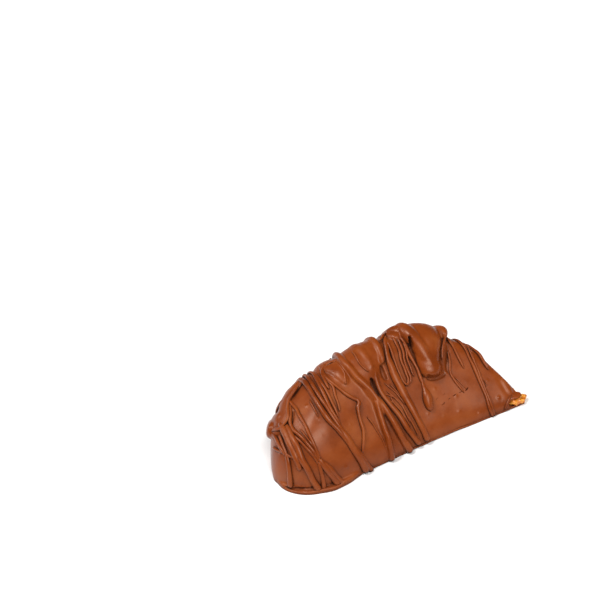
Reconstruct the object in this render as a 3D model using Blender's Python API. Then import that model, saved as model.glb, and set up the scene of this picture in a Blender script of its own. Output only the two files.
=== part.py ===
# A wedge of candied orange, dipped in milk chocolate and drizzled with more of it.
# It lies on its flat underside. +X runs along the wedge, +Y points to its rounded back, +Z is up.
# Lengths are metres, written as millimetres times MM. The origin is under the middle of the footprint.

import math

import bmesh
import bpy
from mathutils import Matrix, Vector

MM = 0.001

# The dipped wedge. A section across it has an upright near wall, a sloped front face, a height limit
# and a back that is an arc about the near edge, as a cut orange has.
COAT = {
    "left": -34.5 * MM,         # the two ends
    "right": 36.0 * MM,
    "widest": 2.4 * MM,         # station of the widest and highest section
    "near": -17.3 * MM,         # the long edge towards the viewer
    "back": 17.3 * MM,
    "height": 24.0 * MM,
    "base": -3.0 * MM,          # the form runs on below the base plane, where it is cut flat
    "bow": 1.4 * MM,            # the near edge is hollow along its middle
    "bow_middle": 4.4 * MM,
    "bow_span": 60.0 * MM,
    "pull": 14.0 * MM,          # the near edge sweeps back at the left end
    "pull_length": 16.5 * MM,
    "tip_lean": 0.0,            # how far the near edge steps out again at the right tip
    "left_round": (4.0, 1.2),   # power and root of the back's outline, seen from above
    "right_round": (2.42, 2.11),
    "left_fall": (0.43, 1.3),   # share of the height lost by the left end, and its power
    "left_drop": (6.0, 2.0),    # power and root of the height at each end
    "right_drop": (2.24, 1.6),
    "slope": (52.0, 40.0),      # of the front face in degrees, at the left and the right end
    "edge": (7.5 * MM, 2.2 * MM),   # height of the near wall at the two ends
    "soft": (5.0, 9.0),         # corner sharpness at the two ends
}

# The candied wedge inside it, which runs through and shows where the chocolate is torn at the tip.
WALL = 2.0 * MM
FLOOR = 1.3 * MM
GAP = 0.3 * MM
CORE = dict(
    COAT,
    left=COAT["left"] + WALL,
    right=COAT["right"] + 0.6 * MM,
    near=COAT["near"] + WALL,
    back=COAT["back"] - WALL,
    height=COAT["height"] - WALL,
    base=FLOOR,
    tip_lean=1.5 * MM,
    right_round=(2.2, 1.6),
    right_drop=(1.8, 1.4),
    soft=(7.0, 9.0),
)
PEEL_WAVE = 0.25 * MM           # sugared, uneven surface of the candied peel

# The torn opening at the tip.
TEAR_PLACE = Vector((36.2, -15.4, 2.9)) * MM
TEAR_SIZE = Vector((4.6, 3.4, 2.4)) * MM

# The foot: chocolate that ran down and set as a thin rim round the left end.
FOOT_HIGH = 1.5 * MM
FOOT_PROUD = 1.3 * MM
FOOT_REACH = -10.0 * MM         # the rim has died away at this station
FOOT_BEVEL = 0.5 * MM

# Middle of the whole footprint, drizzle and rim with it, in the wedge's own axes.
FOOTPRINT_MIDDLE = Vector((0.4, 0.25, 0.0)) * MM

COAT_ALONG, COAT_AROUND = 42, 36
CORE_ALONG, CORE_AROUND = 24, 20

# Poured chocolate: (thickness, [(station, direction, width), ...]). Stations and widths are mm and
# directions are degrees round the section: 0 is the back, 90 is up and 180 is the near edge.
POURS = {
    "main_sheet": (1.5, [(2.6, -8, 4), (2.0, 14, 7), (0.0, 45, 11), (-1.0, 70, 12), (-2.4, 92, 8.5), (-2.9, 112, 5),
                         (-2.1, 136, 3.4), (-1.6, 158, 3.2)]),
    "sheet_left_leg": (1.1, [(-2.4, 146, 2.0), (-3.4, 166, 1.7), (-4.4, 184, 1.7), (-5.0, 203, 2.3)]),
    "sheet_right_leg": (1.1, [(-1.9, 146, 2.2), (-1.4, 168, 2.0), (-0.7, 186, 1.9), (0.4, 203, 2.2)]),
    "finger": (2.8, [(14.2, 2, 3), (15.0, 28, 7), (15.8, 55, 11.5), (16.4, 78, 10.5), (16.8, 98, 7.5), (16.4, 113, 5.4),
                     (16.2, 124, 4.2)]),
    "finger_neighbour": (1.6, [(11.0, -8, 2.6), (10.8, 26, 4.6), (11.0, 50, 6.5), (11.4, 68, 5.5), (12.2, 86, 3)]),
    "left_blob": (1.3, [(-9.8, 6, 2.6), (-9.4, 30, 4.6), (-9.0, 55, 6), (-8.2, 80, 4.6), (-7.8, 103, 3.4)]),
    "shoulder_low": (1.6, [(-30.0, -4, 2.0), (-30.4, 22, 3.5), (-30.6, 50, 4.5), (-30.6, 76, 3.6), (-31.0, 92, 2.4)]),
    "shoulder_high": (1.5, [(-26.4, -12, 2.2), (-26.2, 12, 4), (-26.0, 38, 5), (-25.4, 60, 3.6)]),
    "shoulder_right": (1.3, [(-21.0, -4, 2.4), (-20.6, 16, 4.2), (-20.2, 40, 5), (-19.4, 60, 3.6)]),
    "hanging_drop": (1.5, [(11.5, 134, 1.3), (11.3, 148, 1.9), (11.2, 156, 2.6), (11.1, 164, 3.0), (11.1, 171, 2.7),
                           (11.1, 178, 1.8)]),
    "middle_flow": (1.2, [(9.0, 14, 3), (8.2, 50, 3.6), (6.4, 80, 3), (4.9, 104, 2.3), (5.1, 150, 2.2), (5.7, 178, 2.2),
                          (6.3, 203, 2.6)]),
}

# Drizzled strands: (width, [(station, direction), ...]), each about two thirds as thick as it is wide.
STRANDS = [
    (2.0, [(-28.6, 68), (-29.8, 108), (-30.0, 135), (-28.6, 169), (-26.4, 203)]),
    (1.2, [(-30.2, 58), (-31.2, 100), (-31.7, 130), (-32.6, 172)]),
    (1.0, [(-22.0, 44), (-22.4, 64), (-24.5, 100), (-24.7, 130), (-24.4, 164), (-22.6, 190)]),
    (1.0, [(-26.2, 76), (-27.0, 110), (-26.6, 140), (-24.8, 168), (-24.4, 203)]),
    (1.2, [(-27.2, 80), (-28.2, 112), (-26.6, 150), (-24.0, 178), (-20.9, 203)]),
    (1.2, [(-15.8, 10), (-16.6, 46), (-17.6, 80), (-17.6, 116), (-16.0, 146), (-14.8, 172), (-13.2, 203)]),
    (1.2, [(-14.2, 22), (-15.2, 58), (-16.4, 96), (-15.7, 132), (-14.4, 160), (-12.6, 196)]),
    (1.0, [(-13.0, 34), (-13.6, 70), (-14.2, 104), (-13.9, 138), (-12.9, 174)]),
    (1.0, [(-10.8, 58), (-12.4, 84), (-10.7, 106), (-8.3, 123), (-9.0, 140), (-10.4, 166), (-13.0, 190)]),
    (1.0, [(11.6, 24), (11.8, 62), (9.8, 88), (8.6, 112), (7.2, 130)]),
    (1.0, [(8.4, 76), (6.0, 98), (6.2, 116), (7.2, 131)]),
    (1.0, [(12.2, 60), (11.8, 90), (11.9, 112), (11.4, 138)]),
    (1.0, [(0.6, 128), (1.4, 156), (2.6, 184), (3.2, 203)]),
    (1.0, [(2.4, 118), (3.2, 146), (4.3, 176), (4.6, 196)]),
    (1.0, [(22.6, 20), (22.8, 54), (20.4, 92), (18.4, 114)]),
    (0.9, [(23.4, 44), (24.6, 78), (24.3, 116)]),
    (1.2, [(25.6, 8), (26.6, 44), (27.0, 88), (26.7, 130), (26.4, 166), (26.3, 203)]),
    (1.0, [(29.4, 20), (30.0, 52), (30.4, 106)]),
    (1.1, [(-24.0, -14), (-25.0, 20), (-23.0, 48)]),
    (1.2, [(-7.0, -18), (-5.6, 16), (-6.4, 46)]),
    (1.1, [(4.6, -18), (3.4, 20), (5.0, 52)]),
    (1.2, [(18.6, -16), (19.4, 18), (18.4, 46)]),
]
STRAND_HIGH = 0.65
STRAND_SUNK = 0.3               # share of the width that lies under the skin
THIN_SIDES, THICK_SIDES = 6, 8
THICK_WIDTH = 1.5 * MM
FLOW_STEP = 2.2 * MM


def blend(pair, share):
    return pair[0] + (pair[1] - pair[0]) * share


def near_line(form, x):
    # the near edge seen from above: bowed along its middle, swept back round the left end
    turn = (x - form["bow_middle"]) / form["bow_span"]
    y = form["near"] + form["bow"] * math.cos(math.pi * min(max(turn, -0.5), 0.5))
    past = (form["left"] + form["pull_length"] - x) / form["pull_length"]
    if past > 0:
        y += form["pull"] * (1 - math.sqrt(max(0.0, 1 - past * past)))
    lean = max(0.0, x - form["widest"]) / (form["right"] - form["widest"])
    return y - form["tip_lean"] * lean ** 3


def back_line(form, x):
    # the back seen from above: full at the widest station, meeting the near edge at both ends
    side = "left" if x < form["widest"] else "right"
    power, root = form[side + "_round"]
    out = min(1.0, (x - form["widest"]) / (form[side] - form["widest"]))
    end = near_line(form, form[side])
    return end + (form["back"] - end) * (1 - out ** power) ** (1 / root)


def crest(form, x):
    # the height limit along the wedge
    side = "left" if x < form["widest"] else "right"
    power, root = form[side + "_drop"]
    out = min(1.0, (x - form["widest"]) / (form[side] - form["widest"]))
    high = (1 - out ** power) ** (1 / root)
    if side == "left":
        lost, fall = form["left_fall"]
        high *= 1 - lost * out ** fall
    floor = max(form["base"], 0.0)
    return floor + (form["height"] - floor) * high


def skin(form, x, direction):
    # the point of the skin at a station, in a direction round the section (radians, 0 = back, 90 = up):
    # a soft minimum of the distances to the section's walls
    near = near_line(form, x)
    width = max(back_line(form, x) - near, 0.02 * MM)
    along = (x - form["left"]) / (form["right"] - form["left"])
    slope = math.radians(blend(form["slope"], along))
    edge = blend(form["edge"], along) * min(1.0, width / (20 * MM))
    soft = blend(form["soft"], along)
    heart = Vector((0.48 * width, 0.2 * width + max(form["base"], 0.0)))
    step = Vector((math.cos(direction), math.sin(direction)))
    # back arc, centred on the near edge
    ahead = heart.dot(step)
    walls = [math.sqrt(max(ahead * ahead - heart.length_squared + width * width, 0)) - ahead]
    if step.x < 0:
        walls.append(heart.x / -step.x)
    face = Vector((-math.sin(slope), math.cos(slope)))
    if face.dot(step) > 0:
        walls.append(max(edge * face.y - heart.dot(face), 0.02 * MM) / face.dot(step))
    if step.y > 0:
        walls.append(max(crest(form, x) - heart.y, 0.02 * MM) / step.y)
    if step.y < 0:
        walls.append((heart.y - form["base"]) / -step.y)
    walls = [max(wall, 0.01 * MM) for wall in walls]
    reach = sum((MM / wall) ** soft for wall in walls) ** (-1 / soft) * MM
    return Vector((x, near + heart.x + reach * step.x, heart.y + reach * step.y))


def wedge(form, along, around, wave=0.0):
    # a ball whose poles are the wedge's two ends, each vertex moved onto the skin, waved at the right tip
    mesh = bmesh.new()
    bmesh.ops.create_uvsphere(mesh, u_segments=around, v_segments=along, radius=1.0)
    for vert in mesh.verts:
        x = form["left"] + (form["right"] - form["left"]) * (1 + vert.co.z) / 2
        direction = math.atan2(vert.co.y, vert.co.x)
        vert.co = skin(form, x, direction)
        ripple = math.sin(x / MM * 2.3 + 2 * math.sin(direction * 5)) * math.sin(direction * 7 + x / MM)
        ripple *= max(0.0, x / form["right"]) ** 3
        vert.co += wave * ripple * Vector((0, math.cos(direction), math.sin(direction)))
    mesh.normal_update()
    return mesh


def candied_wedge():
    return wedge(CORE, CORE_ALONG, CORE_AROUND, PEEL_WAVE)


def candied_hollow():
    # the room that the candied wedge lies in: its own form, larger by the gap on every side
    mesh = candied_wedge()
    steps = [vert.normal * GAP * vert.calc_shell_factor() for vert in mesh.verts]
    for vert, step in zip(mesh.verts, steps):
        vert.co += step
    return mesh


def smooth_route(points, step):
    # points read every step along a smooth curve through the route's own points (Catmull-Rom)
    first = tuple(2 * a - b for a, b in zip(points[0], points[1]))
    last = tuple(2 * a - b for a, b in zip(points[-1], points[-2]))
    knots = [first, *points, last]
    route = []
    for before, start, end, after in zip(knots, knots[1:], knots[2:], knots[3:]):
        ends = [skin(COAT, p[0] * MM, math.radians(p[1])) for p in (start, end)]
        count = max(1, round((ends[1] - ends[0]).length / step))
        for index in range(count):
            t = index / count
            route.append([
                0.5 * (2 * b + (c - a) * t + (2 * a - 5 * b + 4 * c - d) * t * t + (3 * b - a - 3 * c + d) * t ** 3)
                for a, b, c, d in zip(before, start, end, after)
            ])
    route.append(list(points[-1]))
    return route


def outward(x, direction):
    # the skin's normal
    small = 0.05 * MM
    turn = 0.01
    side = skin(COAT, x + small, direction) - skin(COAT, x - small, direction)
    round_it = skin(COAT, x, direction + turn) - skin(COAT, x, direction - turn)
    return side.cross(round_it).normalized() * -1


def flow(points, thickness, sunk):
    # a closed tube of oval section that lies on the skin; points are (station mm, degrees, width mm)
    route = smooth_route(points, FLOW_STEP)
    sides = THICK_SIDES if points[0][2] * MM > THICK_WIDTH else THIN_SIDES
    places = [skin(COAT, p[0] * MM, math.radians(p[1])) for p in route]
    run = [0.0]
    for a, b in zip(places, places[1:]):
        run.append(run[-1] + (b - a).length)
    mesh = bmesh.new()
    loops = []
    for index, (point, place) in enumerate(zip(route, places)):
        width = point[2] * MM
        up = outward(point[0] * MM, math.radians(point[1]))
        ahead = places[min(index + 1, len(places) - 1)] - places[max(index - 1, 0)]
        across = up.cross(ahead).normalized()
        end = min(run[index], run[-1] - run[index]) / (width / 2)
        full = math.sqrt(1 - (1 - min(end, 1.0)) ** 2 * 0.85)
        low = sunk * width
        high = (thickness + low) / 2
        middle = place + up * (high - low)
        ring = bmesh.ops.create_circle(mesh, segments=sides, radius=1.0)["verts"]
        for vert in ring:
            side, rise = vert.co.x, vert.co.y
            vert.co = middle + across * (side * full * width / 2) + up * (rise * full * high)
        loops.append(ring)
    for ring, following in zip(loops, loops[1:]):
        for index in range(sides):
            after = (index + 1) % sides
            mesh.faces.new((ring[index], ring[after], following[after], following[index]))
    mesh.faces.new(loops[0])
    mesh.faces.new(loops[-1])
    bmesh.ops.recalc_face_normals(mesh, faces=mesh.faces)
    return mesh


def foot():
    # a thin rim round the left end: the base outline, stepped outwards and raised
    count = 26
    outline = []
    for index in range(2 * count):
        share = abs(index - count + 0.5) / count
        x = COAT["left"] + (FOOT_REACH - COAT["left"]) * share * share
        line = near_line if index < count else back_line
        outline.append(Vector((x, line(COAT, x), 0)))
    middle = Vector((FOOT_REACH, 0, 0))
    mesh = bmesh.new()
    ring = bmesh.ops.create_circle(mesh, cap_ends=True, segments=2 * count, radius=1.0)["verts"]
    for vert, place in zip(ring, outline):
        fade = min(1.0, (FOOT_REACH - place.x) / (12 * MM))
        away = (place - middle).normalized()
        vert.co = place + away * blend((-FOOT_PROUD, FOOT_PROUD), fade) - Vector((0, 0, FOOT_HIGH))
    bottom = mesh.faces[:]
    top = bmesh.ops.extrude_face_region(mesh, geom=bottom)
    verts = [item for item in top["geom"] if isinstance(item, bmesh.types.BMVert)]
    bmesh.ops.translate(mesh, verts=verts, vec=(0, 0, 2 * FOOT_HIGH))
    faces = [item for item in top["geom"] if isinstance(item, bmesh.types.BMFace)]
    bmesh.ops.recalc_face_normals(mesh, faces=mesh.faces)
    rim = {edge for face in faces for edge in face.edges}
    bmesh.ops.bevel(
        mesh, geom=list(rim), offset=FOOT_BEVEL, offset_type="OFFSET", segments=2, profile=0.5,
        affect="EDGES", material=-1,
    )
    return mesh


def add_object(name, mesh, collection=None):
    data = bpy.data.meshes.new(name)
    mesh.to_mesh(data)
    mesh.free()
    thing = bpy.data.objects.new(name, data)
    (collection or bpy.context.scene.collection).objects.link(thing)
    return thing


def boolean(thing, operation, solver, **operand):
    # applies one Boolean and leaves the result as the object's own mesh
    modifier = thing.modifiers.new(operation.lower(), "BOOLEAN")
    modifier.operation = operation
    modifier.solver = solver
    for name, value in operand.items():
        setattr(modifier, name, value)
    graph = bpy.context.evaluated_depsgraph_get()
    result = bpy.data.meshes.new_from_object(thing.evaluated_get(graph), depsgraph=graph)
    thing.modifiers.clear()
    thing.data = result


def remove(*things):
    for thing in things:
        bpy.data.objects.remove(thing, do_unlink=True)


def cut_flat(thing):
    # cuts the underside flat at the base plane
    mesh = bmesh.new()
    mesh.from_mesh(thing.data)
    geom = mesh.verts[:] + mesh.edges[:] + mesh.faces[:]
    cut = bmesh.ops.bisect_plane(
        mesh, geom=geom, dist=0.001 * MM, plane_co=(0, 0, 0), plane_no=(0, 0, -1), clear_outer=True,
    )["geom_cut"]
    edges = [item for item in cut if isinstance(item, bmesh.types.BMEdge)]
    bmesh.ops.holes_fill(mesh, edges=edges)
    mesh.to_mesh(thing.data)
    mesh.free()


def keep_largest(thing):
    # drops loose scraps that a cut leaves behind
    mesh = bmesh.new()
    mesh.from_mesh(thing.data)
    left = set(mesh.verts)
    groups = []
    while left:
        group = set()
        queue = [left.pop()]
        while queue:
            vert = queue.pop()
            group.add(vert)
            for edge in vert.link_edges:
                other = edge.other_vert(vert)
                if other in left:
                    left.discard(other)
                    queue.append(other)
        groups.append(group)
    groups.sort(key=len)
    for group in groups[:-1]:
        bmesh.ops.delete(mesh, geom=list(group), context="VERTS")
    bmesh.ops.triangulate(mesh, faces=mesh.faces)
    mesh.to_mesh(thing.data)
    mesh.free()


def finish(thing, colour, roughness):
    # material, smooth shading and place
    material = bpy.data.materials.new(thing.name)
    material.use_nodes = True
    shader = material.node_tree.nodes["Principled BSDF"]
    shader.inputs["Base Color"].default_value = (*colour, 1.0)
    shader.inputs["Roughness"].default_value = roughness
    shader.inputs["Metallic"].default_value = 0.0
    thing.data.materials.clear()
    thing.data.materials.append(material)
    thing.data.shade_smooth()
    thing.data.set_sharp_from_angle(angle=math.radians(40))
    thing.location = -FOOTPRINT_MIDDLE


def chocolate_coat():
    coat = add_object("chocolate_coat", wedge(COAT, COAT_ALONG, COAT_AROUND))
    pieces = bpy.data.collections.new("poured")
    bpy.context.scene.collection.children.link(pieces)
    add_object("foot", foot(), pieces)
    for name, (thickness, points) in POURS.items():
        add_object(name, flow(points, thickness * MM, 0.25), pieces)
    for index, (width, points) in enumerate(STRANDS):
        tube = flow([(*point, width) for point in points], width * STRAND_HIGH * MM, STRAND_SUNK)
        add_object(f"strand_{index}", tube, pieces)
    boolean(coat, "UNION", "EXACT", operand_type="COLLECTION", collection=pieces)
    remove(*pieces.objects)
    bpy.data.collections.remove(pieces)
    # the exact solver loses both cuts, so they take the manifold one
    hollow = add_object("hollow", candied_hollow())
    boolean(coat, "DIFFERENCE", "MANIFOLD", object=hollow)
    ball = bmesh.new()
    size = Matrix.Translation(TEAR_PLACE) @ Matrix.Diagonal((*TEAR_SIZE, 1.0))
    bmesh.ops.create_icosphere(ball, subdivisions=2, radius=1.0, matrix=size)
    tear = add_object("tear", ball)
    boolean(coat, "DIFFERENCE", "MANIFOLD", object=tear)
    remove(hollow, tear)
    cut_flat(coat)
    keep_largest(coat)
    finish(coat, (0.262, 0.063, 0.022), 0.42)


def candied_orange():
    core = add_object("candied_orange", candied_wedge())
    finish(core, (0.69, 0.24, 0.045), 0.5)


for old in list(bpy.data.objects):
    bpy.data.objects.remove(old, do_unlink=True)
chocolate_coat()
candied_orange()
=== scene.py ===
import math
import bmesh
import bpy
from mathutils import Matrix, Vector, noise


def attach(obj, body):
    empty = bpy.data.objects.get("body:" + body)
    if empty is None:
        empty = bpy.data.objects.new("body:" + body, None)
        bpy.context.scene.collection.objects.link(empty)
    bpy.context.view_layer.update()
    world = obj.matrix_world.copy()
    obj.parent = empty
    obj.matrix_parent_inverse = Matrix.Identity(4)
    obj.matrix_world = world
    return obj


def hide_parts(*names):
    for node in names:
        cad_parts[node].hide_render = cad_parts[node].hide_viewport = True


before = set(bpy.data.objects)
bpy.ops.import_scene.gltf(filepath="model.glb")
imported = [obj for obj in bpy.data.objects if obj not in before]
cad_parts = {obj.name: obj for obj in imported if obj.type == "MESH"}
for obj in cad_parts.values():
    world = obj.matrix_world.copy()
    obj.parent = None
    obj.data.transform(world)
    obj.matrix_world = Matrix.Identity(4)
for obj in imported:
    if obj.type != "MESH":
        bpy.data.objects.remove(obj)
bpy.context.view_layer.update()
mm = 0.001
print("frame loaded:", sorted(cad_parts))

# The wedge's own axes: +X along it, +Y to its rounded back. The frame's origin is under the footprint's
# middle, which is here in those axes.
footprintMiddle = Vector((0.4, 0.25, 0.0))


# form of the wedge

# the dipped wedge, in mm and degrees; pairs are values at the left and the right end
dippedWedge = {
    "left": -34.5,
    "right": 36.0,
    "widest": 2.4,          # station of the widest and highest section
    "near": -17.3,          # the long edge towards the viewer
    "back": 17.3,
    "height": 24.0,
    "base": -3.0,           # the form runs on below the floor and is cut flat there
    "bow": 1.4,             # the near edge is hollow along its middle
    "bowMiddle": 4.4,
    "bowSpan": 60.0,
    "pull": 14.0,           # the near edge sweeps back at the left end
    "pullLength": 16.5,
    "tipLean": 0.0,
    "leftRound": (4.0, 1.2),
    "rightRound": (2.42, 2.11),
    "leftFall": (0.43, 1.3),
    "leftDrop": (6.0, 2.0),
    "rightDrop": (2.24, 1.6),
    "slope": (52.0, 40.0),
    "edge": (7.5, 2.2),
    "soft": (5.0, 9.0),
    "pinch": (30.0, 0.34),  # from this station on the section shrinks, by this share at the right end
    "heart": (0.48, 0.2),   # directions turn about this point, in shares of the section's width
    "fullWidth": 20.0,      # narrower sections have a lower front edge
}
wall = 2.0
candiedWedge = dict(
    dippedWedge,
    left=dippedWedge["left"] + wall,
    right=dippedWedge["right"] + 0.6,       # the orange comes out at the torn tip
    near=dippedWedge["near"] + wall,
    back=dippedWedge["back"] - wall,
    height=dippedWedge["height"] - wall,
    base=1.0,
    tipLean=1.9,
    rightRound=(2.2, 1.6),
    rightDrop=(1.8, 1.4),
    soft=(7.0, 9.0),
)


def blendPair(pair, share):
    return pair[0] + (pair[1] - pair[0]) * share


def nearLine(form, x):
    turn = (x - form["bowMiddle"]) / form["bowSpan"]
    y = form["near"] + form["bow"] * math.cos(math.pi * min(max(turn, -0.5), 0.5))
    past = (form["left"] + form["pullLength"] - x) / form["pullLength"]
    if past > 0:
        y += form["pull"] * (1 - math.sqrt(max(0.0, 1 - past * past)))
    lean = max(0.0, x - form["widest"]) / (form["right"] - form["widest"])
    return y - form["tipLean"] * lean ** 3


def outShare(form, x):
    # 0 at the widest station, 1 at the end on x's side
    side = "left" if x < form["widest"] else "right"
    return side, min(1.0, (x - form["widest"]) / (form[side] - form["widest"]))


def backLine(form, x):
    side, out = outShare(form, x)
    power, root = form[side + "Round"]
    end = nearLine(form, form[side])
    return end + (form["back"] - end) * (1 - out ** power) ** (1 / root)


def crest(form, x):
    side, out = outShare(form, x)
    power, root = form[side + "Drop"]
    high = (1 - out ** power) ** (1 / root)
    if side == "left":
        lost, fall = form["leftFall"]
        high *= 1 - lost * out ** fall
    floor = max(form["base"], 0.0)
    return floor + (form["height"] - floor) * high


def skin(form, x, direction):
    # point of the skin in mm: direction is in radians round the section, 0 = back, 90 degrees = up
    near = nearLine(form, x)
    width = max(backLine(form, x) - near, 0.02)
    along = (x - form["left"]) / (form["right"] - form["left"])
    slope = math.radians(blendPair(form["slope"], along))
    edge = blendPair(form["edge"], along) * min(1.0, width / form["fullWidth"])
    soft = blendPair(form["soft"], along)
    heart = Vector((form["heart"][0] * width, form["heart"][1] * width + max(form["base"], 0.0)))
    step = Vector((math.cos(direction), math.sin(direction)))
    ahead = heart.dot(step)
    walls = [math.sqrt(max(ahead * ahead - heart.length_squared + width * width, 0)) - ahead]
    if step.x < 0:
        walls.append(heart.x / -step.x)
    face = Vector((-math.sin(slope), math.cos(slope)))
    if face.dot(step) > 0:
        walls.append(max(edge * face.y - heart.dot(face), 0.02) / face.dot(step))
    if step.y > 0:
        walls.append(max(crest(form, x) - heart.y, 0.02) / step.y)
    if step.y < 0:
        walls.append((heart.y - form["base"]) / -step.y)
    reach = sum((1 / max(item, 0.01)) ** soft for item in walls) ** (-1 / soft)
    start, lost = form["pinch"]
    keep = 1 - lost * max(0.0, (x - start) / (form["right"] - start)) ** 2
    high = heart.y + reach * step.y
    return Vector((x, near + (heart.x + reach * step.x) * keep, high * keep if high > 0 else high))


def outward(x, direction):
    side = skin(dippedWedge, x + 0.05, direction) - skin(dippedWedge, x - 0.05, direction)
    roundIt = skin(dippedWedge, x, direction + 0.01) - skin(dippedWedge, x, direction - 0.01)
    return roundIt.cross(side).normalized()


# shared steps

def toFrame(bm):
    # from mm in the wedge's own axes to metres in the frame
    for vert in bm.verts:
        vert.co = (vert.co - footprintMiddle) * mm


def addObject(name, bm):
    mesh = bpy.data.meshes.new(name)
    bm.to_mesh(mesh)
    bm.free()
    piece = bpy.data.objects.new(name, mesh)
    bpy.context.scene.collection.objects.link(piece)
    return piece


def countTriangles(piece):
    return sum(len(face.vertices) - 2 for face in piece.data.polygons)


def applyModifiers(piece):
    graph = bpy.context.evaluated_depsgraph_get()
    mesh = bpy.data.meshes.new_from_object(piece.evaluated_get(graph), depsgraph=graph)
    piece.modifiers.clear()
    piece.data = mesh


def fuse(piece, voxel):
    modifier = piece.modifiers.new("fuse", "REMESH")
    modifier.mode = "VOXEL"
    modifier.voxel_size = voxel * mm
    applyModifiers(piece)


def thinOut(piece, share):
    modifier = piece.modifiers.new("thin", "DECIMATE")
    modifier.ratio = share
    applyModifiers(piece)


def cutAway(piece, cutter):
    modifier = piece.modifiers.new("cut", "BOOLEAN")
    modifier.operation = "DIFFERENCE"
    modifier.solver = "MANIFOLD"
    modifier.object = cutter
    applyModifiers(piece)
    bpy.data.objects.remove(cutter, do_unlink=True)


def cutFlat(bm):
    # the underside is flat, where the wet coat set on its tray
    geom = bm.verts[:] + bm.edges[:] + bm.faces[:]
    cut = bmesh.ops.bisect_plane(
        bm, geom=geom, dist=1e-7, plane_co=(0, 0, 0), plane_no=(0, 0, -1), clear_outer=True,
    )["geom_cut"]
    bmesh.ops.holes_fill(bm, edges=[item for item in cut if isinstance(item, bmesh.types.BMEdge)])


def wedgeBall(form, along, around):
    # a ball whose poles are the wedge's ends, each vertex moved onto the skin
    bm = bmesh.new()
    bmesh.ops.create_uvsphere(bm, u_segments=around, v_segments=along, radius=1.0)
    for vert in bm.verts:
        x = form["left"] + (form["right"] - form["left"]) * (1 + vert.co.z) / 2
        vert.co = skin(form, x, math.atan2(vert.co.y, vert.co.x))
    bm.normal_update()
    return bm


def smoothRoute(points, step):
    # read every step along a Catmull-Rom curve through the route's own points
    first = tuple(2 * a - b for a, b in zip(points[0], points[1]))
    last = tuple(2 * a - b for a, b in zip(points[-1], points[-2]))
    knots = [first, *points, last]
    route = []
    for before, start, end, after in zip(knots, knots[1:], knots[2:], knots[3:]):
        ends = [skin(dippedWedge, p[0], math.radians(p[1])) for p in (start, end)]
        count = max(2, round((ends[1] - ends[0]).length / step))
        for index in range(count):
            t = index / count
            route.append([
                0.5 * (2 * b + (c - a) * t + (2 * a - 5 * b + 4 * c - d) * t * t
                       + (3 * b - a - 3 * c + d) * t ** 3)
                for a, b, c, d in zip(before, start, end, after)
            ])
    route.append(list(points[-1]))
    return route


# how a flow ends: from this direction on it is at the foot and keeps its width, elsewhere it closes by
# this share
flowEnd = {"footFrom": 195, "closed": 0.95}


def layFlow(target, points, look, order):
    # a closed oval tube laid on the skin, drawn by extruding its end face along the route
    seed = look["seed"] + order
    route = smoothRoute(points, look["step"])
    ends = zip(look["fade"], (points[0], points[-1]))
    fades = [fade if point[1] < flowEnd["footFrom"] else 1.0 for fade, point in ends]
    places = [skin(dippedWedge, p[0], math.radians(p[1])) for p in route]
    run = [0.0]
    for a, b in zip(places, places[1:]):
        run.append(run[-1] + (b - a).length)
    rings = []
    for index, (point, place) in enumerate(zip(route, places)):
        up = outward(point[0], math.radians(point[1]))
        ahead = places[min(index + 1, len(places) - 1)] - places[max(index - 1, 0)]
        across = up.cross(ahead).normalized()
        beat = Vector((run[index] * look["beat"], seed * 7.3, 0))      # each flow reads its own line of noise
        width = point[2] * (1 + look["uneven"] * noise.noise(beat))
        sway = look["sway"] * noise.noise(beat + Vector((0, 0, 31.7)))
        thick = look["thick"](width) * (1 + look["uneven"] * noise.noise(beat + Vector((0, 5.1, 0))))
        end = min(run[index] / fades[0], (run[-1] - run[index]) / fades[1]) / (width / 2)
        full = math.sqrt(1 - (1 - min(end, 1.0)) ** 2 * flowEnd["closed"])
        sunk = look.get("deep", look.get("sunk", 0) * width)
        high = (thick + sunk) / 2
        middle = place + up * (high - sunk + look.get("lift", 0)) + across * sway
        rings.append((middle, across * full * width / 2, up * full * high))
    bm = bmesh.new()
    bmesh.ops.create_circle(bm, cap_ends=True, segments=look["sides"], radius=1.0)
    unit = [vert.co.copy() for vert in bm.verts]
    face = bm.faces[:][0]
    for index, (middle, side, rise) in enumerate(rings):
        if index:
            made = bmesh.ops.extrude_face_region(bm, geom=[face])["geom"]
            if index > 1:
                bmesh.ops.delete(bm, geom=[face], context="FACES_ONLY")
            face = [item for item in made if isinstance(item, bmesh.types.BMFace)][0]
            lastMiddle, lastSide, lastRise = rings[index - 1]
            for vert in face.verts:
                off = vert.co - lastMiddle
                wide = off.dot(lastSide) / lastSide.length_squared
                high = off.dot(lastRise) / lastRise.length_squared
                vert.co = middle + side * wide + rise * high
        else:
            for vert, co in zip(bm.verts, unit):
                vert.co = middle + side * co.x + rise * co.y
    bmesh.ops.recalc_face_normals(bm, faces=bm.faces)
    mesh = bpy.data.meshes.new("flow")
    bm.to_mesh(mesh)
    bm.free()
    target.from_mesh(mesh)
    bpy.data.meshes.remove(mesh)


# materials

def toLinear(hexColour):
    # sRGB hex to the linear colour that the shader wants
    values = [int(hexColour[i:i + 2], 16) / 255 for i in (1, 3, 5)]
    return (*[v / 12.92 if v <= 0.04045 else ((v + 0.055) / 1.055) ** 2.4 for v in values], 1.0)


def newMaterial(name):
    material = bpy.data.materials.new(name)
    material.use_nodes = True
    return material, material.node_tree, material.node_tree.nodes["Principled BSDF"]


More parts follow.
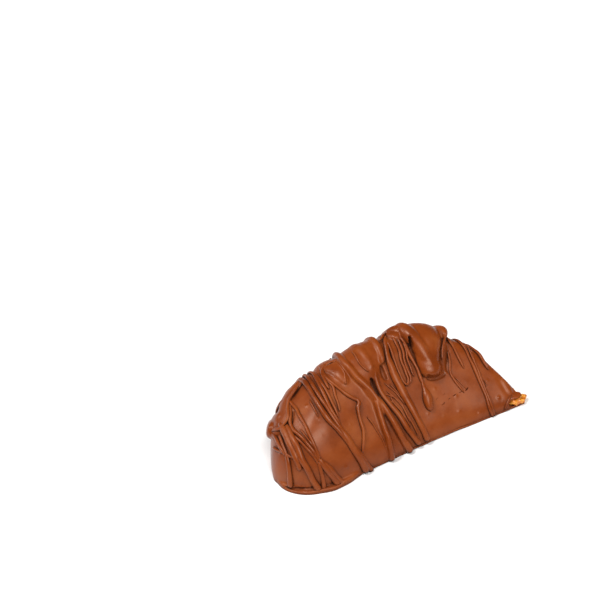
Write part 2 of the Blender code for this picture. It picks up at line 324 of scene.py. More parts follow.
def addNode(tree, kind, settings=None, inputs=None, links=None, stops=()):
    node = tree.nodes.new(kind)
    for index, (place, colour) in enumerate(stops):
        element = node.color_ramp.elements[index] if index < 2 else node.color_ramp.elements.new(place)
        element.position = place
        element.color = toLinear(colour)
    for name, value in (settings or {}).items():
        setattr(node, name, value)
    for name, value in (inputs or {}).items():
        node.inputs[name].default_value = value
    for name, source in (links or {}).items():
        tree.links.new(source, node.inputs[name])
    return node


def milkChocolate():
    # tempered milk chocolate, dipped and drizzled by hand: satin, faintly translucent, uneven in tone, with
    # painted shade darkening its colour in the creases
    look = {
        "body": "#853b10",
        "thin": "#92481a",
        "deep": "#73300c",
        "cloudSize": 7.0,       # mm
        "grain": (0.45, 0.01),  # size and depth, mm
        "dimples": (1.9, 0.06),
        "roughness": (0.3, 0.44, 0.85),     # where it set glossy, where it set dull, bottom of a crease
        "paintedCreaseShade": "#250700",        # painted shade: where the light hardly reaches, the base colour is darkened towards this deep warm brown
        "creaseSize": 2.6,      # mm, how far the painted shade looks for nearby surfaces
        "creaseLight": (0.3, 0.82),     # share of open sky where the painted shade is deepest, and where it ends
        "sheen": "#ffe4cd",     # the cocoa butter's gloss looks warm on the brown
    }
    material, tree, shader = newMaterial("milkChocolate")
    place = addNode(tree, "ShaderNodeTexCoord").outputs["Object"]
    cloud = addNode(
        tree, "ShaderNodeTexNoise",
        inputs={"Scale": 1 / (look["cloudSize"] * mm), "Detail": 4.0, "Roughness": 0.55},
        links={"Vector": place},
    )
    colour = addNode(
        tree, "ShaderNodeValToRGB", links={"Fac": cloud.outputs["Fac"]},
        stops=((0.3, look["deep"]), (0.52, look["body"]), (0.75, look["thin"])),
    ).outputs["Color"]
    # painted shade: ambient occlusion finds the creases and the base colour is darkened there; the same mask
    # also makes the creases rougher
    shade = addNode(
        tree, "ShaderNodeAmbientOcclusion", {"samples": 6}, {"Distance": look["creaseSize"] * mm},
    )
    deepest, clear = look["creaseLight"]
    depth = addNode(
        tree, "ShaderNodeMapRange",
        inputs={"From Min": deepest, "From Max": clear, "To Min": 0.95, "To Max": 0.0},
        links={"Value": shade.outputs["AO"]},
    )
    paintedShade = addNode(     # painted shade mixed into the base colour; a mix's colours are its inputs 6 and 7 and its output 2
        tree, "ShaderNodeMix", {"data_type": "RGBA"}, {7: toLinear(look["paintedCreaseShade"])},
        {0: depth.outputs["Result"], 6: colour},
    )
    tree.links.new(paintedShade.outputs[2], shader.inputs["Base Color"])
    size, deep = look["dimples"]
    dimples = addNode(
        tree, "ShaderNodeTexNoise", inputs={"Scale": 1 / (size * mm), "Detail": 2.0, "Roughness": 0.5},
        links={"Vector": place},
    )
    swell = addNode(
        tree, "ShaderNodeBump", inputs={"Strength": 0.6, "Distance": deep * mm},
        links={"Height": dimples.outputs["Fac"]},
    )
    size, deep = look["grain"]
    grain = addNode(
        tree, "ShaderNodeTexNoise", inputs={"Scale": 1 / (size * mm), "Detail": 3.0, "Roughness": 0.6},
        links={"Vector": place},
    )
    bump = addNode(
        tree, "ShaderNodeBump", inputs={"Strength": 0.4, "Distance": deep * mm},
        links={"Height": grain.outputs["Fac"], "Normal": swell.outputs["Normal"]},
    )
    tree.links.new(bump.outputs["Normal"], shader.inputs["Normal"])
    glossy, dull, creased = look["roughness"]
    setting = addNode(
        tree, "ShaderNodeMapRange",
        inputs={"From Min": 0.35, "From Max": 0.65, "To Min": glossy, "To Max": dull},
        links={"Value": cloud.outputs["Fac"]},
    )
    gloss = addNode(
        tree, "ShaderNodeMapRange", inputs={"To Max": creased},
        links={"Value": depth.outputs["Result"], "To Min": setting.outputs["Result"]},
    )
    tree.links.new(gloss.outputs["Result"], shader.inputs["Roughness"])
    shader.inputs["IOR"].default_value = 1.46
    shader.inputs["Specular IOR Level"].default_value = 0.44
    shader.inputs["Specular Tint"].default_value = toLinear(look["sheen"])
    shader.inputs["Subsurface Weight"].default_value = 0.03
    shader.inputs["Subsurface Radius"].default_value = (1.0, 0.45, 0.25)
    shader.inputs["Subsurface Scale"].default_value = 0.8 * mm
    return material


def candiedPeel():
    # orange candied in sugar syrup: moist, glassy in places, with fine sugar grain
    look = {
        "flesh": "#d67c1c",
        "pale": "#f4c25a",
        "deep": "#a94f10",
        "patchSize": 0.9,       # mm
        "sugar": (0.5, 0.12),   # size and height of the grains, mm
    }
    material, tree, shader = newMaterial("candiedPeel")
    place = addNode(tree, "ShaderNodeTexCoord").outputs["Object"]
    patch = addNode(
        tree, "ShaderNodeTexNoise",
        inputs={"Scale": 1 / (look["patchSize"] * mm), "Detail": 5.0, "Roughness": 0.65},
        links={"Vector": place},
    )
    colour = addNode(
        tree, "ShaderNodeValToRGB", links={"Fac": patch.outputs["Fac"]},
        stops=((0.32, look["deep"]), (0.5, look["flesh"]), (0.68, look["pale"])),
    ).outputs["Color"]
    tree.links.new(colour, shader.inputs["Base Color"])
    sugar = addNode(
        tree, "ShaderNodeTexVoronoi", inputs={"Scale": 1 / (look["sugar"][0] * mm)}, links={"Vector": place},
    )
    bump = addNode(
        tree, "ShaderNodeBump", {"invert": True}, {"Strength": 0.6, "Distance": look["sugar"][1] * mm},
        {"Height": sugar.outputs["Distance"]},
    )
    tree.links.new(bump.outputs["Normal"], shader.inputs["Normal"])
    shader.inputs["Roughness"].default_value = 0.32
    shader.inputs["IOR"].default_value = 1.48
    shader.inputs["Subsurface Weight"].default_value = 0.12
    shader.inputs["Subsurface Radius"].default_value = (1.0, 0.5, 0.15)
    shader.inputs["Subsurface Scale"].default_value = 1.5 * mm
    return material


# chocolate coat

coatLook = {
    "along": 150,
    "around": 120,
    "voxel": 0.23,              # mm
    "keepFaces": 0.72,          # share kept when flat places are thinned out
    "soften": 2,                # passes of smoothing after the fuse
    "wave": ((9.0, 0.22), (3.2, 0.07)),     # size and depth of the hand-dipped unevenness, mm
    "gap": 0.3,                 # between the coat and the candied orange
    "hollowFaces": (24, 20),    # along and around
    "sharpFrom": 50,            # degrees
    "creaseCutter": 4.0,        # heights of the cutters for creases and scratches
    "scratchCutter": 0.6,
    "lip": Vector((34.4, -15.4, 2.55)),     # the edge of the coat that stands over the torn tip
    "lipSize": Vector((1.9, 1.7, 0.35)),
    "lipRough": (1.7, 0.25),    # how often and how much
    "tearRough": ((2.6, 0.16), (7, 0.07)),
    "tears": (                  # middle and half sizes of the two bites that opened the tip
        (Vector((34.6, -17.4, 1.35)), Vector((3.3, 2.4, 1.2))),
        (Vector((38.7, -15.2, -1.0)), Vector((3.3, 4.5, 3.1))),
    ),
}
footLook = {
    "high": 1.5,
    "proud": 1.3,
    "reach": -10.0,             # station where the rim has died away
    "fadeLength": 12.0,
    "wave": (4.0, 0.25),        # size and depth
    "tuck": 1.5,                # it draws in again round the back
    "tuckFrom": -12.0,
    "tuckLength": 8.0,
    "bevel": 0.5,
    "stations": 40,
}
bubbleLook = {"half": 0.42, "flat": 6.0, "proud": 0.05}     # half width and flatness per mm of diameter

# broad flows, fused into the coat: thickness, [(station mm, direction degrees, width mm), ...] and,
# where its two ends die away slowly, over how many half widths
pours = {
    "mainSheet": (0.9, [(2.6, -8, 4), (2.0, 14, 8), (0.4, 45, 12.5), (0.0, 60, 13.5), (-0.2, 77, 12.5),
                        (-0.8, 86, 11.0), (-1.3, 93, 9.4), (-1.8, 99, 7.4), (-2.8, 106, 5.0),
                        (-3.6, 113, 3.4), (-3.5, 120, 2.8), (-3.0, 131, 2.5), (-2.8, 142, 2.4),
                        (-2.6, 152, 2.4)]),
    "legLeft": (1.45, [(-3.2, 134, 1.5), (-3.6, 146, 1.5), (-4.2, 166, 1.5), (-4.5, 179, 1.5),
                       (-4.8, 190, 1.6), (-5.3, 203, 2.2)]),
    "legRight": (1.5, [(-2.6, 134, 1.6), (-2.1, 146, 1.8), (-1.6, 162, 1.8), (-1.2, 177, 1.8),
                       (-0.6, 190, 1.8), (0.7, 203, 2.3)]),
    "sheetRidge1": (1.5, [(-4.6, 40, 1.5), (-5.2, 60, 1.9), (-5.7, 77, 2.0), (-5.7, 88, 2.0), (-5.3, 98, 2.0),
                          (-4.5, 107, 2.0), (-3.6, 118, 1.9), (-3.0, 131, 1.8), (-2.8, 146, 1.8)]),
    "sheetRidge2": (1.2, [(0.0, 36, 1.6), (0.1, 56, 2.8), (0.1, 75, 2.8), (0.0, 88, 2.4), (-0.3, 98, 1.6)]),
    "sheetRidge3": (1.35, [(4.6, 44, 1.2), (5.0, 62, 1.8), (4.7, 77, 2.0), (4.1, 87, 1.8), (3.2, 95, 1.3)],
                    2.5, 2.5),
    "domeLeft": (2.2, [(11.4, 16, 4.0), (12.2, 40, 6.6), (12.8, 58, 6.2), (13.2, 70, 4.0)]),
    "finger": (2.5, [(17.6, -8, 7), (18.2, 24, 11.5), (18.6, 50, 12.0), (18.4, 72, 9.8), (17.5, 82, 8.8),
                     (16.3, 94, 7.6), (15.5, 106, 6.8), (15.2, 119, 6.2), (15.3, 130, 5.4), (15.4, 136, 4.6)]),
    "fingerRidge": (2.9, [(13.6, 50, 3.4), (14.2, 68, 4.2), (14.9, 84, 4.4), (15.3, 99, 4.2),
                          (15.5, 113, 3.8), (15.6, 124, 3.4)], 2.5, 2.5),
    "fingerCorner": (2.7, [(21.6, 26, 4.0), (22.8, 44, 4.4), (23.6, 57, 3.8), (23.6, 66, 2.6), (22.9, 76, 1.6)],
                     2.5, 2.0),
    "fingerNeighbour": (1.1, [(11.0, -8, 2.6), (10.8, 26, 4.6), (10.6, 50, 6.0), (10.9, 64, 4.6),
                              (11.4, 76, 2.6)]),
    "leftBlob": (0.8, [(-9.8, 6, 2.6), (-9.4, 30, 4.6), (-9.2, 55, 5.4), (-8.6, 78, 4.6), (-8.4, 92, 3.8),
                       (-8.6, 102, 2.6)], 2.5, 2.5),
    "shoulderLap": (0.7, [(-30.4, 36, 3.4), (-29.8, 46, 5.2), (-28.4, 57, 6.2), (-26.8, 63, 6.4),
                          (-24.9, 58, 6.0), (-22.4, 46, 5.6), (-18.6, 42, 5.0), (-15.0, 44, 3.6)]),
    "shoulderLow": (2.1, [(-25.4, -2, 2.2), (-26.8, 13, 3.4), (-28.2, 26, 4.6), (-29.4, 37, 5.6),
                          (-30.3, 46, 5.2)], 10.0, 1.3),
    "shoulderHigh": (0.9, [(-27.0, -12, 2.4), (-27.6, 14, 3.8), (-27.6, 40, 4.2), (-26.4, 62, 3.4)]),
    "shoulderRight": (0.8, [(-21.0, -4, 2.4), (-20.6, 16, 4.2), (-20.4, 38, 4.6), (-19.8, 54, 3.0)],
                      2.5, 2.5),
    "tipBulge": (0.4, [(32.8, 112, 1.4), (33.2, 130, 1.9), (33.3, 148, 2.0), (33.2, 163, 1.8),
                       (33.6, 174, 1.4)], 2.0, 2.0),
}

# crisp flows that lie on the coat: share of the width that stands up, and the same points
ribbons = {
    "wideFlow": (0.55, [(9.6, 12, 1.6), (9.3, 42, 1.5), (8.4, 66, 1.3), (6.8, 80, 1.3), (5.7, 90, 1.5),
                        (5.2, 98, 2.0), (4.9, 112, 2.3), (4.9, 130, 2.4), (5.1, 155, 2.2), (5.5, 182, 1.7),
                        (6.2, 200, 1.8)]),
    "secondFlow": (0.6, [(0.8, 94, 1.2), (-0.3, 107, 1.5), (-0.7, 118, 1.4), (-0.6, 131, 1.4),
                         (0.0, 147, 1.5), (0.9, 165, 1.6), (1.6, 180, 1.6), (2.6, 192, 1.4), (3.6, 200, 1.6)]),
    "leftStub": (0.6, [(-27.8, 60, 1.2), (-28.0, 76, 1.9), (-28.4, 95, 2.0), (-29.1, 119, 1.9),
                       (-29.5, 142, 1.8), (-29.6, 156, 1.5), (-29.6, 163, 1.9)]),
    "leftLong": (0.65, [(-27.0, 80, 1.1), (-27.3, 96, 1.6), (-27.8, 118, 1.8), (-28.3, 147, 1.8),
                        (-27.9, 166, 1.7), (-27.4, 186, 1.7), (-26.6, 203, 2.0)]),
    "leftEdge": (0.6, [(-29.4, 72, 0.9), (-30.0, 90, 1.1), (-30.7, 117, 1.1), (-31.2, 134, 1.2),
                       (-32.0, 161, 1.4), (-32.5, 194, 1.6)]),
    "hangingDrop": (0.62, [(11.5, 134, 0.9), (11.2, 142, 1.1), (11.0, 149, 1.5), (10.8, 156, 2.2),
                           (10.5, 163, 2.5), (10.2, 170, 2.2), (9.9, 177, 1.3)]),
    "bundleFoot": (0.55, [(-24.4, 164, 1.2), (-23.5, 180, 1.7), (-22.5, 192, 1.7), (-21.5, 203, 2.0)]),
    "bundleFoot2": (0.6, [(-24.2, 168, 0.9), (-22.7, 181, 1.3), (-21.4, 193, 1.3), (-20.2, 203, 1.7)]),
    "bundleTail": (0.6, [(-24.7, 166, 1.1), (-25.1, 185, 1.2), (-25.4, 203, 1.5)]),
    "heavyBundle": (0.6, [(-16.4, 142, 1.4), (-15.4, 160, 1.9), (-14.5, 178, 2.0), (-13.4, 194, 2.0),
                          (-12.9, 202, 2.3)]),
    "heavySide": (0.7, [(-15.6, 156, 0.9), (-14.0, 176, 1.1), (-12.4, 194, 1.2), (-11.6, 204, 1.6)]),
}

# thin drizzle: width mm, [(station mm, direction degrees), ...] and, where it lies over other flows, by
# how much it is lifted
strands = [
    (0.8, [(-31.9, 52), (-31.7, 77), (-31.3, 102), (-30.6, 126), (-29.8, 142)]),
    (1.0, [(-30.0, 47), (-29.9, 52), (-30.1, 60), (-30.3, 74), (-30.7, 92), (-30.9, 108), (-31.1, 120)], 0.2),
    (1.0, [(-15.4, 44), (-17.7, 56), (-20.2, 56), (-22.4, 58), (-23.6, 66), (-25.0, 78), (-26.1, 90),
           (-26.5, 105), (-26.2, 122), (-25.6, 138), (-24.8, 158), (-24.5, 170)]),
    (0.95, [(-22.4, 40), (-22.7, 58), (-23.1, 85), (-23.9, 117), (-24.2, 141), (-24.3, 156), (-24.5, 169)]),
    (0.9, [(-27.2, 92), (-27.4, 104), (-27.1, 122), (-26.2, 142), (-25.5, 157), (-24.8, 172)]),
    (0.6, [(-25.4, 112), (-25.0, 130), (-24.3, 150), (-24.0, 164)]),
    (1.4, [(-15.8, 10), (-16.6, 44), (-17.0, 67), (-17.8, 91), (-18.2, 112), (-17.8, 130), (-16.6, 148),
           (-15.2, 174)]),
    (1.2, [(-14.2, 22), (-15.2, 54), (-16.2, 82), (-16.6, 108), (-16.2, 136), (-15.2, 158), (-14.2, 180)]),
    (1.0, [(-13.0, 34), (-13.6, 60), (-14.6, 82), (-15.6, 103), (-15.9, 122), (-15.5, 146)]),
    (0.9, [(-13.2, 52), (-14.0, 88), (-14.6, 110), (-15.0, 134)]),
    (0.75, [(-10.8, 58), (-12.2, 82), (-12.2, 97), (-13.0, 110), (-13.9, 128)]),
    (0.55, [(-19.0, 88), (-19.6, 104), (-19.8, 118)]),
    (1.0, [(-10.6, 52), (-11.6, 68), (-12.0, 82), (-11.5, 97), (-10.4, 108), (-8.8, 119), (-7.9, 124),
           (-7.9, 129), (-8.8, 134), (-9.3, 142), (-9.7, 154), (-10.2, 165), (-11.2, 174), (-12.8, 184)]),
    (0.95, [(-5.6, 74), (-6.6, 68), (-8.0, 64), (-9.6, 63), (-11.0, 65), (-12.2, 72), (-13.0, 84),
            (-13.4, 96)]),
    (0.65, [(-7.6, 68), (-7.4, 78), (-7.4, 88), (-8.1, 95), (-9.1, 101)], 0.3),
    (0.55, [(-2.0, 72), (-2.3, 81), (-2.6, 88), (-2.3, 94), (-1.6, 99)], 0.85),
    (0.65, [(9.6, 54), (9.2, 63), (7.6, 70), (5.8, 74)], 0.7),
    (1.0, [(-29.8, 48), (-29.4, 54), (-28.8, 66), (-28.0, 76), (-26.5, 80), (-25.3, 77), (-24.0, 65),
           (-22.3, 59), (-18.6, 58)], 0.5),
    (0.5, [(-19.0, 202), (-8.0, 202), (4.0, 202), (16.0, 202), (28.0, 202), (33.2, 200)], -0.12),
    (0.55, [(-0.5, 130), (1.7, 139), (3.0, 152), (3.4, 170), (3.9, 192)]),
    (0.55, [(0.9, 128), (2.2, 143), (3.1, 161), (3.3, 178)]),
    (0.5, [(0.1, 152), (0.7, 170), (1.2, 184)]),
    (0.5, [(1.4, 116), (2.5, 129), (3.6, 145), (4.0, 158)]),
    (0.45, [(2.7, 120), (3.4, 134), (3.8, 147)]),
    (0.5, [(1.2, 137), (1.3, 149), (2.1, 162), (2.4, 176)]),
    (0.45, [(-0.4, 140), (1.1, 149), (2.3, 164), (2.7, 182)], 0.1),
    (0.5, [(-7.4, 150), (-6.6, 166), (-6.0, 180), (-5.7, 196)]),
    (0.8, [(10.8, 56), (9.8, 83), (8.8, 95), (8.3, 111), (8.0, 124), (7.1, 131), (6.5, 123), (6.6, 107),
           (7.0, 94), (7.9, 78), (8.6, 62)]),
    (0.8, [(11.9, 58), (10.6, 86), (9.6, 96), (9.2, 111), (8.8, 124), (7.8, 131)]),
    (0.7, [(12.6, 64), (11.6, 86), (10.7, 95), (10.3, 108), (10.0, 122)]),
    (1.0, [(12.2, 66), (11.8, 91), (11.8, 101), (11.7, 113), (11.5, 128), (11.1, 145)]),
    (0.7, [(24.4, 40), (24.0, 56), (23.2, 72), (22.0, 81), (20.4, 92), (19.2, 104)], 0.95),
    (0.8, [(23.6, 48), (24.2, 64), (24.4, 79), (24.2, 91), (24.2, 104), (24.2, 121)]),
    (0.7, [(22.4, 88), (21.3, 108), (19.9, 130), (20.0, 143), (20.3, 157), (20.9, 170)]),
    (0.4, [(20.4, 138), (21.2, 152), (22.0, 166)]),
    (0.9, [(25.6, 8), (26.9, 40), (27.3, 61), (27.4, 77), (27.1, 94), (27.0, 114), (26.7, 141), (26.5, 162),
           (26.2, 177), (25.8, 190), (26.0, 203)]),
    (0.8, [(28.2, 46), (28.4, 60), (28.5, 72), (28.0, 92), (27.7, 112), (27.3, 134), (27.0, 156), (26.7, 176),
           (26.4, 190), (26.5, 203)]),
    (0.45, [(27.2, 166), (27.9, 158), (27.8, 150)]),
    (1.1, [(29.0, 22), (29.6, 46), (30.1, 64), (30.4, 80), (30.4, 95), (30.4, 112)]),
    (0.5, [(33.2, 176), (32.2, 184), (31.3, 189), (30.4, 194), (29.6, 199)]),
    (1.1, [(-24.0, -14), (-25.0, 20), (-23.0, 50)]),
    (1.2, [(-7.0, -18), (-5.6, 16), (-6.4, 50)]),
    (1.1, [(4.6, -18), (3.4, 20), (5.0, 56)]),
    (1.2, [(22.6, -16), (22.0, 18), (23.4, 50)]),
]

# small burst air bubbles: station, direction, diameter mm
bubbles = [
    (-20.7, 91, 0.9), (-21.3, 142, 0.9), (-18.2, 189, 0.8), (-6.7, 189, 0.8), (12.8, 186, 0.7),
    (23.1, 152, 0.8), (22.4, 195, 1.0), (18.5, 171, 0.7), (-31.6, 96, 1.0), (17.4, 187, 0.6),
    (29.3, 183, 0.8), (28.6, 150, 0.6), (-10.5, 112, 0.6), (-22.0, 176, 0.6), (20.6, 140, 0.6),
    (13.9, 152, 0.5), (9.0, 178, 0.6), (-12.6, 150, 0.5), (-20.0, 120, 0.5), (-9.0, 30, 0.8), (6.0, 12, 0.9),
    (-16.0, -6, 0.7), (20.0, 8, 0.8), (27.0, -8, 0.7),
]

# creases and holes that the flows left open: depth mm and the same points
grooves = [
    (0.5, [(12.9, 127, 0.8), (14.0, 134, 1.3), (16.0, 136, 1.5), (17.8, 132, 1.3), (18.9, 125, 0.8)]),
    (0.5, [(-33.4, 190, 0.7), (-32.0, 195, 0.9), (-28.0, 197, 1.0), (-24.0, 198, 0.9), (-20.5, 199, 0.7)]),
    (0.5, [(23.4, 76, 0.9), (22.6, 88, 1.6), (21.0, 104, 1.9), (19.7, 120, 1.4), (19.6, 132, 0.7)]),
    (0.9, [(2.9, 94, 1.0), (2.5, 101, 1.9), (2.2, 108, 2.0), (2.4, 116, 1.0)]),
    (0.9, [(-1.7, 104, 1.0), (-2.0, 114, 1.8), (-2.0, 124, 1.8), (-1.7, 134, 0.9)]),
    (0.7, [(7.1, 79, 0.7), (6.8, 86, 1.1), (6.4, 94, 0.7)]),
    (0.6, [(13.4, 77, 0.9), (12.8, 88, 0.9)]),
    (0.6, [(9.2, 82, 0.8), (9.5, 92, 0.7)]),
    (0.6, [(-10.0, 63, 0.8), (-8.6, 66, 1.2), (-7.6, 69, 0.8)]),
    (0.4, [(12.6, 94, 0.7), (11.9, 108, 0.9), (11.8, 122, 0.9), (12.4, 132, 0.7)]),
    (0.5, [(-29.4, 70, 0.8), (-28.2, 84, 1.1), (-26.6, 88, 1.1), (-25.0, 85, 1.1), (-23.6, 74, 0.8)]),
]

# fine nicks, cut when the coat was hard
scratches = [
    (0.2, [(13.4, 176, 0.2), (14.2, 175, 0.5), (15.2, 173, 0.2)]),
    (0.15, [(15.8, 172, 0.15), (16.4, 172, 0.25), (17.0, 171, 0.15)]),
    (0.2, [(17.4, 171, 0.2), (18.2, 170, 0.45), (19.0, 169, 0.2)]),
    (0.12, [(19.4, 168, 0.12), (20.2, 168, 0.2), (21.2, 167, 0.12)]),
    (0.2, [(21.4, 168, 0.2), (22.2, 166, 0.45), (22.9, 163, 0.2)]),
    (0.12, [(12.6, 168, 0.12), (13.2, 167, 0.25), (13.9, 166, 0.12)]),
    (0.12, [(15.2, 165, 0.12), (15.7, 164, 0.25), (16.2, 163, 0.12)]),
]

# how flows are drawn, in mm; the seed picks the line of noise that a list's first flow reads
pourLook = {"seed": 0, "step": 0.7, "sides": 20, "uneven": 0.12, "beat": 0.35, "sway": 0.12, "sunk": 0.25}
ribbonLook = {
    "seed": 20, "step": 0.6, "sides": 16, "uneven": 0.14, "beat": 0.25, "sway": 0.15, "sunk": 0.2,
    "fade": (1.0, 1.0),
}
grooveLook = {
    "seed": 80, "step": 0.5, "sides": 12, "uneven": 0.2, "beat": 0.4, "sway": 0.15, "fade": (1.0, 1.0),
}
strandLook = {
    "seed": 50, "step": 0.5, "sides": 12, "uneven": 0.24, "beat": 0.3, "sway": 0.2, "sunk": 0.15,
    "fade": (7.0, 7.0), "thick": lambda width: 0.72 * width,
}


def waveBody(bm):
    # hand-dipped unevenness
    steps = []
    for vert in bm.verts:
        rise = sum(depth * noise.noise(vert.co / size) for size, depth in coatLook["wave"])
        steps.append(vert.normal * rise)
    for vert, step in zip(bm.verts, steps):
        vert.co += step


def layFoot(target):
    # chocolate that ran down and set as a thin rim round the left end
    count = footLook["stations"]
    middle = Vector((footLook["reach"], 0, 0))
    bm = bmesh.new()
    bmesh.ops.create_circle(bm, cap_ends=True, segments=2 * count, radius=1.0)
    for index, vert in enumerate(bm.verts):
        share = abs(index - count + 0.5) / count
        x = dippedWedge["left"] + (footLook["reach"] - dippedWedge["left"]) * share * share
        place = Vector((x, (nearLine if index < count else backLine)(dippedWedge, x), 0))
        fade = min(1.0, (footLook["reach"] - x) / footLook["fadeLength"])
        away = (place - middle).normalized()
        size, deep = footLook["wave"]
        proud = blendPair((-footLook["proud"], footLook["proud"]), fade) + deep * noise.noise(place / size)
        back = (place.y - footLook["tuckFrom"]) / footLook["tuckLength"]
        proud -= footLook["tuck"] * min(1.0, max(0.0, back)) * fade
        vert.co = place + away * proud - Vector((0, 0, footLook["high"]))
    made = bmesh.ops.extrude_face_region(bm, geom=bm.faces[:])["geom"]
    top = [item for item in made if isinstance(item, bmesh.types.BMFace)]
    bmesh.ops.translate(bm, verts=top[0].verts[:], vec=(0, 0, 2 * footLook["high"]))
    bmesh.ops.recalc_face_normals(bm, faces=bm.faces)
    bmesh.ops.bevel(
        bm, geom=top[0].edges[:], offset=footLook["bevel"], offset_type="OFFSET", segments=3, profile=0.5,
        affect="EDGES", material=-1,
    )
    mesh = bpy.data.meshes.new("foot")
    bm.to_mesh(mesh)
    bm.free()
    target.from_mesh(mesh)
    bpy.data.meshes.remove(mesh)


def addBubble(target, x, direction, size):
    # a low round mound, as an air bubble leaves under the setting skin
    up = outward(x, math.radians(direction))
    turn = up.to_track_quat("Z", "Y").to_matrix().to_4x4()
    half = size * bubbleLook["half"]
    flat = Matrix.Diagonal((half, half, size / bubbleLook["flat"], 1.0))
    place = Matrix.Translation(skin(dippedWedge, x, math.radians(direction)) + up * bubbleLook["proud"])
    bmesh.ops.create_icosphere(target, subdivisions=2, radius=1.0, matrix=place @ turn @ flat)


def hollowBall():
    # the room of the candied wedge, larger than it by the gap
    bm = wedgeBall(candiedWedge, *coatLook["hollowFaces"])
    steps = [vert.normal * coatLook["gap"] * vert.calc_shell_factor() for vert in bm.verts]
    for vert, step in zip(bm.verts, steps):
        vert.co += step
    toFrame(bm)
    return addObject("hollow", bm)


def tearBall(middle, size):
    # the torn opening at the tip, uneven like broken chocolate
    bm = bmesh.new()
    bmesh.ops.create_icosphere(bm, subdivisions=4, radius=1.0)
    for vert in bm.verts:
        vert.co *= 1 + sum(much * noise.noise(vert.co * often) for often, much in coatLook["tearRough"])
        vert.co = middle + Vector(a * b for a, b in zip(vert.co, size))
    toFrame(bm)
    return addObject("tear", bm)


def grooveCutter(marks, high):
    # tall narrow flows, to be cut out of the coat
    bm = bmesh.new()
    for order, (depth, points) in enumerate(marks):
        layFlow(bm, points, dict(grooveLook, deep=depth, thick=lambda width: high), order)
    toFrame(bm)
    return addObject("grooves", bm)


def addLip(target):
    often, much = coatLook["lipRough"]
    for vert in bmesh.ops.create_icosphere(target, subdivisions=3, radius=1.0)["verts"]:
        vert.co *= 1 + much * noise.noise(vert.co * often)
        vert.co = coatLook["lip"] + Vector(a * b for a, b in zip(vert.co, coatLook["lipSize"]))


def makeCoat(material):
    bm = wedgeBall(dippedWedge, coatLook["along"], coatLook["around"])
    waveBody(bm)
    layFoot(bm)
    for order, (thickness, points, *fade) in enumerate(pours.values()):
        layFlow(bm, points, dict(pourLook, thick=lambda width, t=thickness: t, fade=fade or (1.0, 1.0)), order)
    for bubble in bubbles:
        addBubble(bm, *bubble)
    addLip(bm)
    toFrame(bm)
    coat = addObject("coat", bm)
    fuse(coat, coatLook["voxel"])
    cutAway(coat, grooveCutter(grooves, coatLook["creaseCutter"]))
    fuse(coat, coatLook["voxel"])       # once more, so that the creases are as soft as the flows
    bm = bmesh.new()
    bm.from_mesh(coat.data)
    for _ in range(coatLook["soften"]):
        bmesh.ops.smooth_vert(
            bm, verts=bm.verts, factor=0.5, use_axis_x=True, use_axis_y=True, use_axis_z=True,
        )
    bm.to_mesh(coat.data)
    bm.free()
    thinOut(coat, coatLook["keepFaces"])
    bm = bmesh.new()
    bm.from_mesh(coat.data)
    cutFlat(bm)
    bm.to_mesh(coat.data)
    bm.free()
    cutAway(coat, grooveCutter(scratches, coatLook["scratchCutter"]))
    cutAway(coat, hollowBall())
    for middle, size in coatLook["tears"]:
        cutAway(coat, tearBall(middle, size))
    coat.data.shade_smooth()
    coat.data.set_sharp_from_angle(angle=math.radians(coatLook["sharpFrom"]))
    coat.data.materials.clear()
    coat.data.materials.append(material)
    print("coat fused:", countTriangles(coat), "triangles")
    return coat


def makeDrizzle(material):
    bm = bmesh.new()
    for order, (width, points, *lift) in enumerate(strands):
        layFlow(bm, [(*point, width) for point in points], dict(strandLook, lift=sum(lift)), order)
    for order, (share, points) in enumerate(ribbons.values()):
        layFlow(bm, points, dict(ribbonLook, thick=lambda width, s=share: s * width), order)
    toFrame(bm)
    cutFlat(bm)
    drizzle = addObject("drizzle", bm)
    drizzle.data.shade_smooth()
    drizzle.data.materials.append(material)
    print("drizzle laid:", countTriangles(drizzle), "triangles")
    return drizzle


# candied orange

orangeLook = {
    "along": 120,
    "around": 90,
    "sag": 0.75,                # it sinks towards the tip, mm
    "lump": Vector((34.4, -15.6, 1.1)),         # middle of the blunt end that shows at the tear
    "lumpSize": Vector((2.9, 1.9, 1.05)),
    "voxel": 0.2,
    "keepFaces": 0.18,
    "clear": 0.1,               # it stays off the floor
    "lumps": ((1.3, 0.45), (0.5, 0.22)),        # size and height of the candied grain, mm
    "grainFrom": 28.0,          # the grain is only where the orange can be seen
    "grainLength": 3.0,         # it comes in over these mm
}


def makeOrange(material):
    bm = wedgeBall(candiedWedge, orangeLook["along"], orangeLook["around"])
    for vert in bm.verts:
        near = max(0.0, vert.co.x / candiedWedge["right"]) ** 3
        vert.co.z -= orangeLook["sag"] * near * near * min(1.0, vert.co.z)
    for vert in bmesh.ops.create_icosphere(bm, subdivisions=4, radius=1.0)["verts"]:
        vert.co = orangeLook["lump"] + Vector(a * b for a, b in zip(vert.co, orangeLook["lumpSize"]))
    toFrame(bm)
    orange = addObject("orange", bm)
    fuse(orange, orangeLook["voxel"])
    thinOut(orange, orangeLook["keepFaces"])
    bm = bmesh.new()
    bm.from_mesh(orange.data)
    bm.normal_update()
    steps = []
    for vert in bm.verts:
        place = vert.co / mm
        near = min(1.0, max(0.0, (place.x - orangeLook["grainFrom"]) / orangeLook["grainLength"]))
        rise = sum(depth * noise.noise(place / size) for size, depth in orangeLook["lumps"])
        steps.append(vert.normal * near * mm * rise)
    for vert, step in zip(bm.verts, steps):
        vert.co += step
        vert.co.z = max(vert.co.z, orangeLook["clear"] * mm)
    bm.to_mesh(orange.data)
    bm.free()
    orange.data.shade_smooth()
    orange.data.materials.append(material)
    print("orange made:", countTriangles(orange), "triangles")
    return orange


# studio

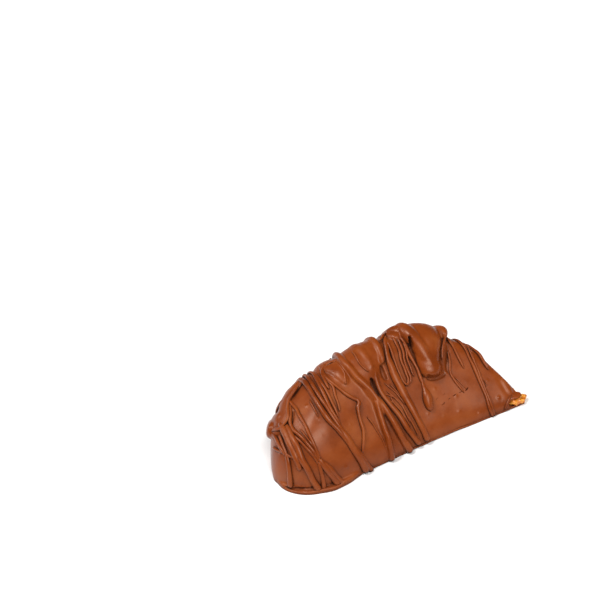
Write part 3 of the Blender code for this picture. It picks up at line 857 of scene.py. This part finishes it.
def makeStudio():
    look = {
        "swing": 20.0,              # degrees: the camera stands left of the front
        "tilt": 32.0,
        "roll": 11.8,               # the photo shows it tipped up at its right end; it lies flat here
        "distance": 500.0,          # mm
        "pixelsPerMm": 3.79,
        "aim": Vector((-24.65, -17.0, 0.0)),    # a point of the near edge, and the pixel that shows it
        "aimPixel": (329.6, 491.5),
        "photo": (600, 597),
        "sensor": 36.0,
        "floorSize": 1500.0,
        "floorColour": "#f7f6f5",
        "worldStrength": (0.05, 0.95),      # as a light, and as the pale wall that low views see
        "key": {"from": (-0.3, 0.16, 0.94), "spread": 12, "power": 1.7},
        "front": {"from": (0.0, -0.62, 0.78), "spread": 34, "power": 2.55},
        "rim": {"from": (-0.55, 0.55, 0.63), "spread": 16, "power": 0.8},
    }
    bm = bmesh.new()
    bmesh.ops.create_grid(bm, x_segments=1, y_segments=1, size=look["floorSize"] * mm)
    floor = addObject("floor", bm)
    material, tree, shader = newMaterial("whiteBoard")
    shader.inputs["Base Color"].default_value = toLinear(look["floorColour"])
    shader.inputs["Roughness"].default_value = 0.7
    floor.data.materials.append(material)

    world = bpy.data.worlds.new("studio")
    world.use_nodes = True
    background = world.node_tree.nodes["Background"]
    background.inputs["Color"].default_value = (1.0, 1.0, 1.0, 1.0)
    seen = addNode(world.node_tree, "ShaderNodeLightPath").outputs["Is Camera Ray"]
    strength = addNode(
        world.node_tree, "ShaderNodeMapRange", inputs=dict(zip(("To Min", "To Max"), look["worldStrength"])),
        links={"Value": seen},
    )
    world.node_tree.links.new(strength.outputs["Result"], background.inputs["Strength"])
    bpy.context.scene.world = world
    for name in ("key", "front", "rim"):
        light = bpy.data.lights.new(name, "SUN")    # a far softbox, so the white board is lit evenly all over
        light.angle = math.radians(look[name]["spread"])
        light.energy = look[name]["power"]
        lamp = bpy.data.objects.new(name, light)
        lamp.rotation_euler = Vector(look[name]["from"]).to_track_quat("Z", "Y").to_euler()
        bpy.context.scene.collection.objects.link(lamp)

    swing, tilt, roll = (math.radians(look[name]) for name in ("swing", "tilt", "roll"))
    ahead = Vector((math.sin(swing) * math.cos(tilt), math.cos(swing) * math.cos(tilt), -math.sin(tilt)))
    level = Vector((math.cos(swing), -math.sin(swing), 0))
    over = level.cross(ahead)
    right = level * math.cos(roll) - over * math.sin(roll)
    up = level * math.sin(roll) + over * math.cos(roll)
    focal = look["pixelsPerMm"] * look["distance"]
    offRight = (look["aimPixel"][0] - look["photo"][0] / 2) / focal
    offUp = (look["photo"][1] / 2 - look["aimPixel"][1]) / focal
    stand = look["aim"] - (ahead + right * offRight + up * offUp) * look["distance"] - footprintMiddle
    data = bpy.data.cameras.new("camera")
    data.sensor_width = look["sensor"]
    data.sensor_fit = "HORIZONTAL"
    data.lens = focal / look["photo"][0] * look["sensor"]
    data.clip_start = 0.01
    camera = bpy.data.objects.new("camera", data)
    camera.matrix_world = Matrix.Translation(stand * mm) @ Matrix((right, up, -ahead)).transposed().to_4x4()
    bpy.context.scene.collection.objects.link(camera)
    bpy.context.scene.camera = camera
    bpy.context.scene.view_settings.view_transform = "Standard"
    print("studio set")


chocolate = milkChocolate()
coat = makeCoat(chocolate)
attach(coat, "root")
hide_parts("chocolate_coat")
drizzle = makeDrizzle(chocolate)
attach(drizzle, "root")
orange = makeOrange(candiedPeel())
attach(orange, "root")
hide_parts("candied_orange")
makeStudio()
